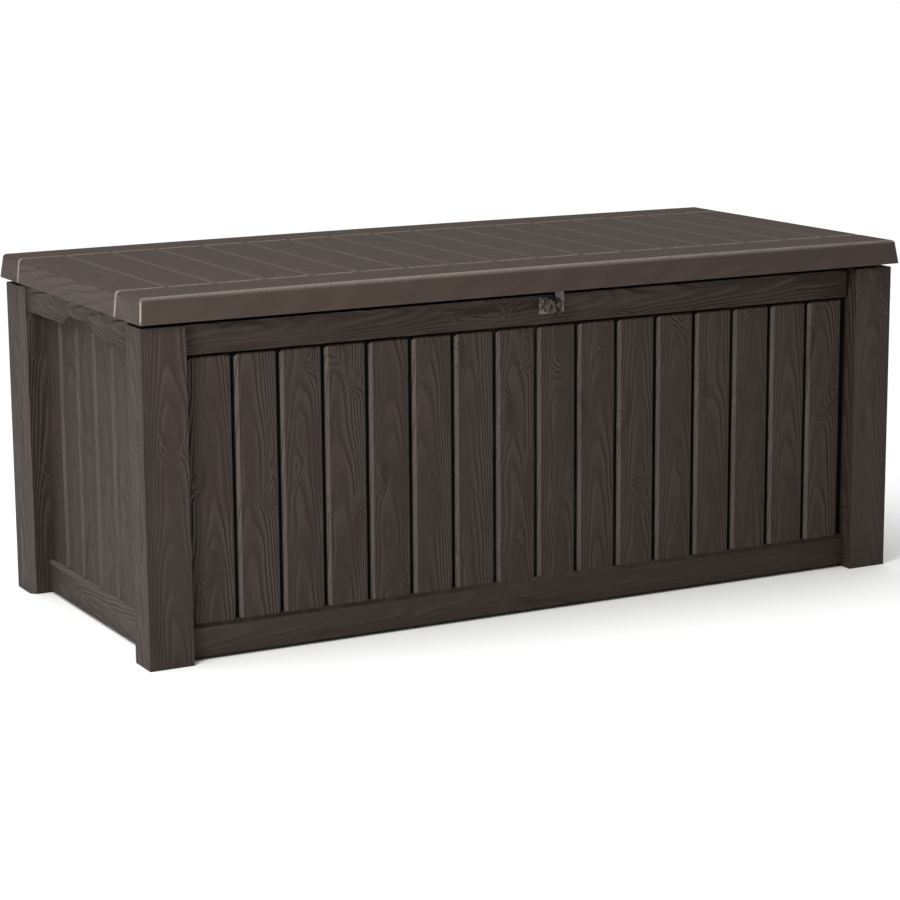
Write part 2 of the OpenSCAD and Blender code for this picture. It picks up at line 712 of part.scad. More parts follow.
// An eye round the X axis at distance l along the strut, with a bore for a pin
module strut_end(l, bore) {
    difference() {
        union() {
            bar_x(-eye_t / 2, eye_t / 2, [l, 0], eye_r);
            children();
        }
        bar_x(-eye_t, eye_t, [l, 0], bore);
    }
}

// A round bar along the strut from l0 to l1
module along(l0, l1, r) { translate([0, l0, 0]) rotate([-90, 0, 0]) cylinder(r = r, h = l1 - l0); }

module strut_socket(s) {
    color("#222222") on_strut(s) strut_end(0, strut_pin_r + fit) along(eye_r - 2, end_len, neck_r);
}

module strut_cylinder(s) {
    color("#1c1c1e") on_strut(s) difference() {
        along(end_len, foot_len, cylinder_r);
        along(end_len + 2, foot_len + 1, rod_r + fit);
    }
}

module strut_rod(s) {
    color("#c8c8cc") on_strut(s) along(end_len + 16, strut_l - end_len, rod_r);
}

module strut_eye(s) {
    color("#222222") on_strut(s) strut_end(strut_l, strut_pin_r) along(strut_l - end_len, strut_l - eye_r + 2, neck_r);
}

// The pin that is fixed in the rod's eye and runs in the lid bracket's slot
module strut_pin(s) {
    inner = eye_t / 2 + plate_t + 2 * gap;
    color("silver") on_strut(s) flip_x(-s) {
        bar_x(-eye_t / 2, inner, [strut_l, 0], strut_pin_r);
        bar_x(inner, inner + 2, [strut_l, 0], slot_half + 1.5);
    }
}

module lower_bracket(s) {
    flip_x(s) color("#8d8681") difference() {
        union() {
            block([wall_x - plate_t, foot[0] - foot_w / 2, foot[1] - foot_h / 2],
                [wall_x, foot[0] + foot_w / 2, foot[1] + foot_h / 2]);
            bar_x(strut_x + eye_t / 2 + gap, wall_x - 1, foot, strut_pin_r + 3);
            bar_x(strut_x - eye_t / 2 - gap, wall_x - 1, foot, strut_pin_r);
            bar_x(strut_x - eye_t / 2 - gap - 1.5, strut_x - eye_t / 2 - gap, foot, strut_pin_r + 2);
        }
        flip_x(s) strut_bracket_screws_at(s, grow = fit);
    }
}

module upper_bracket(s) {
    x1 = strut_x - eye_t / 2 - gap;
    x0 = x1 - plate_t;
    top = liner_z - gap;
    flip_x(s) color("#8d8681") difference() {
        union() {
            slab_x(x0, x1) difference() {
                block2([head[0] - 12, head[1] - 10], [slot_end[0] + 12, top]);
                slot_outline();
            }
            block([x0 - 26, head[0] - 12, top - plate_t], [x1, slot_end[0] + 12, top]);
        }
        flip_x(s) strut_upper_screws_at(s, grow = fit);
    }
}

// The slot that takes up the pin's wander between the two ends of the lid's travel
module slot_outline() {
    way = slot_end - head;
    turn = atan2(way[1], way[0]);
    polygon(concat([for (a = [-90 : 15 : 90]) slot_end + slot_half * [cos(turn + a), sin(turn + a)]],
        [for (a = [90 : 15 : 270]) head + slot_half * [cos(turn + a), sin(turn + a)]]));
}

module strut_bracket_screws_at(s, grow = 0) {
    for (k = [-1, 1])
        screw([s * (wall_x - plate_t), foot[0] + k * 15, foot[1]], [0, -90 * s, 0], grow, short_screw_l);
}

module strut_upper_screws_at(s, grow = 0) {
    for (k = [0, 1]) screw([s * (strut_x - eye_t / 2 - 19), head[0] - 5 + k * 23, liner_z - gap - plate_t],
        [180, 0, 0], grow);
}

module strut_bracket_screws() { color("silver") for (s = [-1, 1]) strut_bracket_screws_at(s); }
module strut_lower_bracket_left() { lower_bracket(-1); }
module strut_lower_bracket_right() { lower_bracket(1); }
module strut_upper_bracket_left() { upper_bracket(-1); }
module strut_upper_bracket_right() { upper_bracket(1); }

front_panel();
back_panel();
left_side_panel();
right_side_panel();
floor_panel_left();
floor_panel_right();
left_grip_rail();
right_grip_rail();
front_strip_left();
front_strip_right();
back_strip_left();
back_strip_right();
panel_screws();
hinge_body_leaf_left();
hinge_body_leaf_middle();
hinge_body_leaf_right();
hinge_pin_left();
hinge_pin_middle();
hinge_pin_right();
hinge_body_screws();
hasp_wall_bracket();
hasp_wall_screws();
strut_lower_bracket_left();
strut_lower_bracket_right();
strut_bracket_screws();
lid_top_shell();
lid_inner_panel();
lid_stiffener_front();
lid_stiffener_rear();
lid_screws();
hinge_lid_leaf_left();
hinge_lid_leaf_middle();
hinge_lid_leaf_right();
hinge_lid_screws();
hasp_lid_bracket();
hasp_lid_screws();
strut_upper_bracket_left();
strut_upper_bracket_right();
strut_cylinder(-1);  // strut_cylinder_left
strut_cylinder(1);  // strut_cylinder_right
strut_socket(-1);  // strut_socket_left
strut_socket(1);  // strut_socket_right
strut_rod(-1);  // strut_rod_left
strut_rod(1);  // strut_rod_right
strut_eye(-1);  // strut_eye_left
strut_eye(1);  // strut_eye_right
strut_pin(-1);  // strut_pin_left
strut_pin(1);  // strut_pin_right
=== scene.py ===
import bmesh
import bpy
import json
import math
import numpy as np
from mathutils import Matrix, Vector

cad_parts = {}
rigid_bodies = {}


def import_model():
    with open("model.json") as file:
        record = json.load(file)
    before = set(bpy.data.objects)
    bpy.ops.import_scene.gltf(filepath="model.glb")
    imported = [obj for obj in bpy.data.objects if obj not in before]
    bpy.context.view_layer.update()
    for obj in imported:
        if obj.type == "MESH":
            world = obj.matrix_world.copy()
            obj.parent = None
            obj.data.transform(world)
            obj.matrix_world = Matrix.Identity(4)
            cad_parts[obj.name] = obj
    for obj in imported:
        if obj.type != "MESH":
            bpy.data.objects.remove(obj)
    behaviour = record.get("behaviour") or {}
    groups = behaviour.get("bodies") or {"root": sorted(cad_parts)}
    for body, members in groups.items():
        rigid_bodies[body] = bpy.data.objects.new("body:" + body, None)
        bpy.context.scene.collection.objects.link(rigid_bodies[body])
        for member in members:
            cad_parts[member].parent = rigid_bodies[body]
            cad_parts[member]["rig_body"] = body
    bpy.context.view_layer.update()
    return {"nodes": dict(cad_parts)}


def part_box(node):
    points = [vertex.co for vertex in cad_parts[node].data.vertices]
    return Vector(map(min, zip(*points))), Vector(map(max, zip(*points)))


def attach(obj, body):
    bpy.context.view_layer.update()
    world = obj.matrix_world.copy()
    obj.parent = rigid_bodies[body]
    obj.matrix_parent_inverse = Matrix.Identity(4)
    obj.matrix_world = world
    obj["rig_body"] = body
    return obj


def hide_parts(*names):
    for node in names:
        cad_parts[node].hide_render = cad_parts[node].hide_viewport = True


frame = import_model()
cadNodes = frame["nodes"]
print("frame loaded:", len(cadNodes), "nodes")


def bodyOf(node):
    return cadNodes[node]["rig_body"]


# ---- node trees and colours ----

def addNode(tree, kind, inputs=(), **settings):
    # inputs fills the sockets in order, or by name from a dictionary; a node stands for its first output
    node = tree.nodes.new(kind)
    for key, value in settings.items():
        setattr(node, key, value)
    for key, value in (inputs.items() if isinstance(inputs, dict) else enumerate(inputs)):
        if isinstance(value, bpy.types.Node):
            value = value.outputs[0]
        if isinstance(value, bpy.types.NodeSocket):
            tree.links.new(value, node.inputs[key])
        else:
            node.inputs[key].default_value = value
    return node


def linearColour(hexText):
    parts = [int(hexText[i:i + 2], 16) / 255 for i in (1, 3, 5)]
    return [c / 12.92 if c <= 0.04045 else ((c + 0.055) / 1.055) ** 2.4 for c in parts] + [1.0]


def newMaterial(name, roughness, metallic=0.0, ior=1.5):
    material = bpy.data.materials.new(name)
    material.use_nodes = True
    tree = material.node_tree
    shader = tree.nodes["Principled BSDF"]
    shader.inputs["Roughness"].default_value = roughness
    shader.inputs["Metallic"].default_value = metallic
    shader.inputs["IOR"].default_value = ior
    return material, tree, shader


def dressShader(tree, shader, colour, bump, roughness):
    # the three things that every finish here gives the shader
    tree.links.new(colour.outputs[2], shader.inputs["Base Color"])
    tree.links.new(bump.outputs[0], shader.inputs["Normal"])
    tree.links.new(roughness.outputs[0], shader.inputs["Roughness"])


# Outdoor polypropylene, injection moulded in a tool with an etched wood grain: growth lines that
# bend round each board's heart, fine fibres between them, a matt skin that is pale where it is rubbed,
# with painted highlights on lit lips and painted shade in grooves.
grainLook = {
    # the pale colour serves rubbed corners and painted highlights, the near-black one the painted shade in
    # grooves and under the lid
    "board": "#3B302B", "line": "#2D231F", "rubbed": "#A3978F", "shaded": "#050303",
    "ringSpacing": 0.0115, "bend": 3.2, "knot": 5.0, "arch": 2500.0, "drift": 10.0, "depth": 0.0024,
    "boardStep": 3.71, "gloss": 0.24, "relief": 0.85, "fibreRelief": 0.35, "ringShade": 0.7,
    "fibreShade": 0.4, "dirt": 0.97, "scuffScale": 420.0,
}
# The size in metres of each noise's cell, along and across the grain, and its step from board to board
grainCells = {
    "bend": {"length": 0.17, "width": 0.05, "apart": 7.3, "detail": 1.0},
    "knot": {"length": 0.11, "width": 0.045, "apart": 11.7, "detail": 0.0},
    "patch": {"length": 0.19, "width": 0.035, "apart": 5.1, "detail": 1.0},
    "fibre": {"length": 0.045, "width": 0.0018, "apart": 9.1, "detail": 2.0},
}


def grainedResin(name, look, roughness):
    material, tree, shader = newMaterial(name, roughness, ior=1.49)
    shader.inputs["Specular IOR Level"].default_value = look["gloss"]   # the etched skin scatters most of it
    place = addNode(tree, "ShaderNodeAttribute", attribute_name="grain").outputs["Vector"]
    along, across, board = addNode(tree, "ShaderNodeSeparateXYZ", (place,)).outputs
    noises = {}
    for part, cell in grainCells.items():
        scale = (1 / cell["length"], 1 / cell["width"], cell["apart"])
        spread = addNode(tree, "ShaderNodeVectorMath", (place, scale), operation="MULTIPLY")
        noises[part] = addNode(tree, "ShaderNodeTexNoise", {
            "Vector": spread, "Scale": 1.0, "Detail": cell["detail"]})
    # a board cut through the log's heart is full of arches, one cut beside it has straight lines
    lean = addNode(tree, "ShaderNodeMath", (board, look["boardStep"]), operation="MULTIPLY")
    lean = addNode(tree, "ShaderNodeCombineXYZ", (lean,))
    lean = addNode(tree, "ShaderNodeTexNoise", {"Vector": lean, "Scale": 1.0, "Detail": 2.0})
    lean = addNode(tree, "ShaderNodeMapRange", (lean, 0.35, 0.65, -1.0, 1.0), interpolation_type="SMOOTHSTEP")
    rings = addNode(tree, "ShaderNodeMath", (across, look["ringSpacing"]), operation="DIVIDE")
    rings = addNode(tree, "ShaderNodeMath", (rings, lean), operation="MULTIPLY")
    arch = addNode(tree, "ShaderNodeMath", (across, across), operation="MULTIPLY")
    # here and there the lines sweep round a knot
    knot = addNode(tree, "ShaderNodeMapRange", (noises["knot"], 0.62, 0.86, 0.0, 1.0),
                   interpolation_type="SMOOTHSTEP")
    for source, amount in ((arch, "arch"), (noises["bend"], "bend"), (along, "drift"), (knot, "knot")):
        rings = addNode(tree, "ShaderNodeMath", (source, look[amount], rings), operation="MULTIPLY_ADD")
    phase = addNode(tree, "ShaderNodeMath", (rings,), operation="FRACT")
    rise = addNode(tree, "ShaderNodeMapRange", (phase, 0.0, 0.7, 0.0, 1.0), interpolation_type="SMOOTHSTEP")
    fall = addNode(tree, "ShaderNodeMapRange", (phase, 0.72, 1.0, 1.0, 0.0), interpolation_type="SMOOTHSTEP")
    ring = addNode(tree, "ShaderNodeMath", (rise, fall), operation="MULTIPLY")
    patch = addNode(tree, "ShaderNodeMapRange", (noises["patch"], 0.34, 0.58, 0.2, 1.0),
                    interpolation_type="SMOOTHSTEP")
    ring = addNode(tree, "ShaderNodeMath", (ring, patch), operation="MULTIPLY")
    fibre = noises["fibre"]
    height = addNode(tree, "ShaderNodeMath", (fibre, look["fibreRelief"], ring), operation="MULTIPLY_ADD")
    bump = addNode(tree, "ShaderNodeBump", {
        "Height": height, "Distance": look["depth"], "Strength": look["relief"]})
    shade = addNode(tree, "ShaderNodeMath", (fibre, look["fibreShade"]), operation="MULTIPLY")
    shade = addNode(tree, "ShaderNodeMath", (ring, look["ringShade"], shade), operation="MULTIPLY_ADD")
    # rubbed corners and painted highlights on lit lips, grooves and the lid's front shoulder, broken up by
    # scuffs
    wear = addNode(tree, "ShaderNodeAttribute", attribute_name="wear").outputs["Fac"]
    surface = addNode(tree, "ShaderNodeTexCoord").outputs["Object"]
    scuff = addNode(tree, "ShaderNodeTexNoise", {
        "Vector": surface, "Scale": look["scuffScale"], "Detail": 3.0})
    scuff = addNode(tree, "ShaderNodeMapRange", (scuff, 0.3, 0.6, 0.45, 1.0), interpolation_type="SMOOTHSTEP")
    rubbed = addNode(tree, "ShaderNodeMath", (wear, scuff), operation="MULTIPLY")
    # painted shade at the bottom of the grooves and in the recess under the lid
    deep = addNode(tree, "ShaderNodeAttribute", attribute_name="deep").outputs["Fac"]
    dirt = addNode(tree, "ShaderNodeMath", (deep, look["dirt"]), operation="MULTIPLY")
    colours = {part: linearColour(look[part]) for part in ("line", "board", "rubbed", "shaded")}
    colour = addNode(tree, "ShaderNodeMix", {0: shade, 6: colours["line"], 7: colours["board"]},
                     data_type="RGBA")
    for share, shown in ((rubbed, "rubbed"), (dirt, "shaded")):
        colour = addNode(tree, "ShaderNodeMix", {0: share, 6: colour.outputs[2], 7: colours[shown]},
                         data_type="RGBA")
    dull = addNode(tree, "ShaderNodeMapRange", (fibre, 0.3, 0.7, roughness + 0.06, roughness - 0.04),
                   interpolation_type="SMOOTHSTEP")
    dressShader(tree, shader, colour, bump, dull)
    return material


# A moulded or painted surface without grain: an even colour with a fine stipple
def stippled(name, dark, light, roughness, grit, depth, ior=1.5):
    material, tree, shader = newMaterial(name, roughness, ior=ior)
    place = addNode(tree, "ShaderNodeTexCoord").outputs["Object"]
    fine = addNode(tree, "ShaderNodeTexNoise", {"Vector": place, "Scale": 1 / grit, "Detail": 3.0})
    broad = addNode(tree, "ShaderNodeTexNoise", {"Vector": place, "Scale": 9.0, "Detail": 2.0})
    shade = addNode(tree, "ShaderNodeMath", (fine, broad), operation="ADD")
    shade = addNode(tree, "ShaderNodeMapRange", (shade, 0.6, 1.4, 0.0, 1.0), interpolation_type="SMOOTHSTEP")
    tint = addNode(tree, "ShaderNodeMix", {0: shade, 6: linearColour(dark), 7: linearColour(light)},
                   data_type="RGBA")
    bump = addNode(tree, "ShaderNodeBump", {"Height": fine, "Distance": depth, "Strength": 0.6})
    dull = addNode(tree, "ShaderNodeMapRange", (broad, 0.3, 0.7, roughness + 0.06, roughness - 0.05),
                   interpolation_type="SMOOTHSTEP")
    dressShader(tree, shader, tint, bump, dull)
    return material


# Metal with fine lines one way: rolled sheet, or a rod that is polished round and round
def lined(name, dark, light, roughness, scale, depth, metallic=1.0):
    material, tree, shader = newMaterial(name, roughness, metallic)
    place = addNode(tree, "ShaderNodeTexCoord").outputs["Object"]
    drawn = addNode(tree, "ShaderNodeMapping", {0: place, 3: scale})
    lines = addNode(tree, "ShaderNodeTexNoise", {"Vector": drawn, "Scale": 1.0, "Detail": 3.0})
    cloud = addNode(tree, "ShaderNodeTexNoise", {"Vector": place, "Scale": 140.0, "Detail": 3.0})
    shade = addNode(tree, "ShaderNodeMath", (lines, 0.4), operation="MULTIPLY")
    shade = addNode(tree, "ShaderNodeMath", (cloud, 0.6, shade), operation="MULTIPLY_ADD")
    shade = addNode(tree, "ShaderNodeMapRange", (shade, 0.35, 0.65, 0.0, 1.0),
                    interpolation_type="SMOOTHSTEP")
    tint = addNode(tree, "ShaderNodeMix", {0: shade, 6: linearColour(dark), 7: linearColour(light)},
                   data_type="RGBA")
    bump = addNode(tree, "ShaderNodeBump", {"Height": lines, "Distance": depth, "Strength": 0.4})
    dull = addNode(tree, "ShaderNodeMapRange", (cloud, 0.3, 0.7, roughness - 0.06, roughness + 0.08),
                   interpolation_type="SMOOTHSTEP")
    dressShader(tree, shader, tint, bump, dull)
    return material


# the lid is the same resin as the walls, its board colour painted lighter for the light falling on its top
lidLook = dict(grainLook, knot=0.0, arch=500.0, bend=1.1, board="#443832", line="#3E332D", depth=0.0011)
wallResin = grainedResin("grainedPolypropyleneWall", grainLook, 0.56)
lidResin = grainedResin("grainedPolypropyleneLid", lidLook, 0.5)
# polypropylene from an etched tool
plainResin = stippled("plainPolypropylene", "#241D1B", "#2C2421", 0.6, 0.0022, 0.00012, 1.49)
# nylon with short glass fibres
hingeNylon = stippled("glassFilledNylonHinge", "#1D1817", "#262020", 0.5, 0.0018, 0.0001, 1.53)
strutNylon = stippled("glassFilledNylonStrut", "#101011", "#19191A", 0.45, 0.0018, 0.0001, 1.53)
# stoved paint on steel tube, smooth and satin
blackPaint = stippled("stovedBlackPaint", "#08080A", "#0E0E10", 0.3, 0.004, 0.00004)
# steel sheet, pressed and then plated with dull zinc
zincSheet = lined("zincPlatedSheet", "#443C37", "#7A706A", 0.42, (60, 60, 900), 0.00004, 0.55)
# plated steel tube, drawn along X
tubeSteel = lined("zincPlatedTube", "#7F7F7F", "#A8A8A6", 0.4, (8, 900, 900), 0.00005)
# turned steel, plated with bright zinc
brightZinc = lined("brightZincScrew", "#A5A5A3", "#D2D2D0", 0.28, (300, 300, 300), 0.00003)
# ground steel rod with hard chrome
chromeRod = lined("hardChromeRod", "#BFC0C4", "#DADBDE", 0.12, (900, 900, 60), 0.00001)
print("materials made")


# ---- grain places ----

# Where the boards of the walls lie, in metres
wallPlan = {
    "longPlanks": 16, "plankPitch": 0.08465, "lowRailTop": 0.065, "plankTop": 0.5305, "plankFaceY": 0.3135,
    "highRailMiddle": 0.566, "lowRailMiddle": 0.035, "halfHeight": 0.3,
    "endPlanks": 6, "endPitch": 0.087, "endRailLow": 0.540, "endRailMiddle": 0.572, "endRailFace": 0.75,
    "endLowFace": 0.724, "postInnerX": 0.687, "postInnerY": 0.261, "postMiddleX": 0.7275,
    "postMiddleY": 0.299, "grooveY": 0.3065, "endGrooveInner": 0.716, "endGrooveX": 0.7225,
    # the lip value is a painted highlight on slanted plank edges and the low rail's bevel
    "grooveTop": 0.545, "revealZ": 0.582, "lipWear": 0.14, "slack": 0.001,
}
# The first number of each group of boards, since every board has a number and a grain of its own
firstBoard = {"backPlanks": 31, "longRails": 60, "leftEnd": 80, "rightEnd": 100, "lidPlanks": 120,
              "lidStrips": 140, "lidEnds": 150}


# These give, for a face at centre c facing n, which way its board runs, where its middle is and its number
def longWallBoard(c, n):
    p = wallPlan
    if p["lowRailTop"] - p["slack"] < c.z < p["plankTop"] and abs(c.y) < p["plankFaceY"]:
        half = p["longPlanks"] * p["plankPitch"] / 2
        index = math.floor((c.x + half) / p["plankPitch"])
        middle = Vector(((index + 0.5) * p["plankPitch"] - half, 0, 0))
        return "z", middle, index + (firstBoard["backPlanks"] if c.y > 0 else 0)
    upper = c.z > p["halfHeight"]
    railZ = p["highRailMiddle"] if upper else p["lowRailMiddle"]
    return "x", Vector((0, c.y, railZ)), firstBoard["longRails"] + upper + 2 * (c.y > 0)


def endWallBoard(c, n):
    p = wallPlan
    side = firstBoard["rightEnd" if c.x > 0 else "leftEnd"]
    if abs(c.y) > p["postInnerY"] - p["slack"]:
        corner = side + 4 * (c.y > 0) + 2 * (abs(n.x) > abs(n.y))
        middleX, middleY = math.copysign(p["postMiddleX"], c.x), math.copysign(p["postMiddleY"], c.y)
        return "z", Vector((middleX, middleY, 0)), corner
    if c.z > p["endRailLow"] - p["slack"] and abs(c.x) > p["endRailFace"]:
        return "y", Vector((c.x, 0, p["endRailMiddle"])), side + 10
    if c.z < p["lowRailTop"] + p["slack"] and abs(c.x) > p["endLowFace"]:
        return "y", Vector((c.x, 0, p["lowRailMiddle"])), side + 11
    half = p["endPlanks"] * p["endPitch"] / 2
    index = math.floor((c.y + half) / p["endPitch"])
    return "z", Vector((0, (index + 0.5) * p["endPitch"] - half, 0)), side + 20 + index


def layGrain(mesh, board, hidden):
    # stores for each corner the metres along the grain, the metres across it from the board's middle,
    # and the board's number; hidden is the axis that looks into the piece
    places = np.zeros((len(mesh.loops), 3), np.float32)
    startStep = 0.37
    hiddenBias = 0.3
    for face in mesh.polygons:
        runs, middle, index = board(face.center, face.normal)
        axis = "xyz".index(runs)
        others = [k for k in range(3) if k != axis]
        others.sort(key=lambda k: abs(face.normal[k]) + hiddenBias * (k == "xyz".index(hidden)))
        inFace = others[0]
        for loop in face.loop_indices:
            co = mesh.vertices[mesh.loops[loop].vertex_index].co
            places[loop] = (co[axis] + startStep * index, co[inFace] - middle[inFace], index)
    attribute = mesh.attributes.new("grain", "FLOAT_VECTOR", "CORNER")
    attribute.data.foreach_set("vector", places.ravel())


def shadeGrooves(mesh):
    # marks the grooves between planks and the recess under the lid for painted shade, and the slanted lips
    # and the low rail's top bevel for a painted highlight
    p = wallPlan
    marks, lips = [], []
    for face in mesh.polygons:
        c, n = face.center, face.normal
        low = abs(c.y) < p["grooveY"] and abs(c.x) < p["postInnerX"]
        low = low or (p["endGrooveInner"] < abs(c.x) < p["endGrooveX"] and abs(c.y) < p["postInnerY"])
        outside = n.x * c.x > 0 if abs(c.x) > p["postInnerX"] else n.y * c.y > 0
        square = max(map(abs, n)) > 0.9
        groove = low and outside and square and p["lowRailTop"] < c.z < p["grooveTop"]
        recess = low and n.y < -0.9 and c.y < 0 and c.z > p["revealZ"]
        marks.append(float(groove or recess))
        slanted = abs(n.z) < 0.1 and min(abs(n.x), abs(n.y)) > 0.3
        lip = not square and (slanted or c.z < p["lowRailTop"] + p["slack"]) and c.z > 0.01
        lips.append(p["lipWear"] if lip else 0.0)
    mesh.attributes.new("deep", "FLOAT", "FACE").data.foreach_set("value", marks)
    mesh.attributes.new("wear", "FLOAT", "FACE").data.foreach_set("value", lips)


# ---- CAD shapes with their edges rounded as a mould or a press leaves them ----

def placed(name, mesh, material, body, nodes):
    piece = bpy.data.objects.new(name, mesh)
    bpy.context.scene.collection.objects.link(piece)
    mesh.materials.clear()
    mesh.materials.append(material)
    mesh.polygons.foreach_set("use_smooth", [True] * len(mesh.polygons))
    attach(piece, body)
    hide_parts(*nodes)
    return piece


def roundEdges(piece, width, steps=2, angle=30):
    bevel = piece.modifiers.new("roundEdges", "BEVEL")
    bevel.width = width
    bevel.segments = steps
    bevel.limit_method = "ANGLE"
    bevel.angle_limit = math.radians(angle)
    bevel.harden_normals = True
    bevel.use_clamp_overlap = True


def wholeFaces(node):
    # a copy of a CAD node with its triangles joined back into whole faces
    mesh = cadNodes[node].data.copy()
    work = bmesh.new()
    work.from_mesh(mesh)
    bmesh.ops.remove_doubles(work, verts=work.verts, dist=2e-6)
    bmesh.ops.dissolve_limit(work, angle_limit=math.radians(0.4), verts=work.verts, edges=work.edges)
    work.to_mesh(mesh)
    work.free()
    for layer in list(mesh.uv_layers):
        mesh.uv_layers.remove(layer)
    return mesh


roundings = [  # node name, or how names start; edge radius in metres; finish; grain
    ("front_panel", 0.0016, wallResin, longWallBoard), ("back_panel", 0.0016, wallResin, longWallBoard),
    ("left_side_panel", 0.002, wallResin, endWallBoard), ("right_side_panel", 0.002, wallResin, endWallBoard),
    ("left_grip_rail", 0.0014, wallResin, endWallBoard), ("right_grip_rail", 0.0014, wallResin, endWallBoard),
    ("front_strip", 0.0008, plainResin, None), ("back_strip", 0.0008, plainResin, None),
    ("floor_panel", 0.001, plainResin, None), ("lid_inner_panel", 0.0008, plainResin, None),
    ("hinge_body_leaf", 0.0008, hingeNylon, None), ("hinge_lid_leaf", 0.0008, hingeNylon, None),
    ("hinge_pin", 0.0004, brightZinc, None), ("strut_pin", 0.0004, brightZinc, None),
    ("hasp_wall_bracket", 0.0006, zincSheet, None), ("hasp_lid_bracket", 0.0006, zincSheet, None),
    ("strut_lower_bracket", 0.0005, zincSheet, None), ("strut_upper_bracket", 0.0005, zincSheet, None),
    ("strut_cylinder", 0.0015, blackPaint, None), ("strut_rod", 0.0006, chromeRod, None),
    ("strut_socket", 0.0007, strutNylon, None), ("strut_eye", 0.0007, strutNylon, None),
    ("lid_stiffener", 0.0006, tubeSteel, None),
]
for start, radius, finish, board in roundings:
    for node in [n for n in sorted(cadNodes) if n.startswith(start)]:
        mesh = wholeFaces(node)
        if board:
            layGrain(mesh, board, "y" if board == longWallBoard else "x")
            shadeGrooves(mesh)
        words = node.split("_")
        name = words[0] + "".join(w.capitalize() for w in words[1:])
        piece = placed(name, mesh, finish, bodyOf(node), [node])
        roundEdges(piece, radius)
print("walls, hinges, hasp and struts rounded")


# ---- geometry node trees ----

def newTree(name, inputs):
    # a geometry node tree whose named inputs hold its sizes
    tree = bpy.data.node_groups.new(name, "GeometryNodeTree")
    tree.interface.new_socket("Geometry", in_out="INPUT", socket_type="NodeSocketGeometry")
    for label, (kind, value) in inputs.items():
        socket = tree.interface.new_socket(label, in_out="INPUT", socket_type="NodeSocket" + kind)
        if value is not None:
            socket.default_value = value
    tree.interface.new_socket("Geometry", in_out="OUTPUT", socket_type="NodeSocketGeometry")
    return tree, tree.nodes.new("NodeGroupInput"), tree.nodes.new("NodeGroupOutput")


def runTree(piece, tree, values):
    # puts the tree on the piece, sets its inputs and returns the result as a plain mesh
    modifier = piece.modifiers.new(tree.name, "NODES")
    modifier.node_group = tree
    for item in tree.interface.items_tree:
        if item.in_out == "INPUT" and item.name in values:
            modifier[item.identifier] = values[item.name]
    graph = bpy.context.evaluated_depsgraph_get()
    mesh = bpy.data.meshes.new_from_object(piece.evaluated_get(graph), preserve_all_data_layers=True,
                                           depsgraph=graph)
    piece.modifiers.remove(modifier)
    return mesh


# ---- lid skin: skirt, shoulder, two smooth strips and the planks between them ----

lidPlan = {
    "leanEnds": 0.004, "leanSides": 0.007, "shoulder": 0.008, "cornerRadius": 0.0045, "crown": 0.0022,
    "frontStrip": 0.118, "rearStrip": 0.099, "planks": 17, "grooveWidth": 0.014, "grooveDepth": 0.0012,
    "jointWidth": 0.009, "jointDepth": 0.0016, "wall": 0.004, "lipRadius": 0.0009, "edge": 0.0145,
    # the joint, groove and shoulder values are painted highlights; the corner value is rubbed wear
    "jointWear": 1.0, "grooveWear": 0.14, "shoulderWear": 0.5, "cornerWear": 0.9,
    "skirtMiddle": 0.615, "jointCore": 0.6, "topBand": 0.004,
}


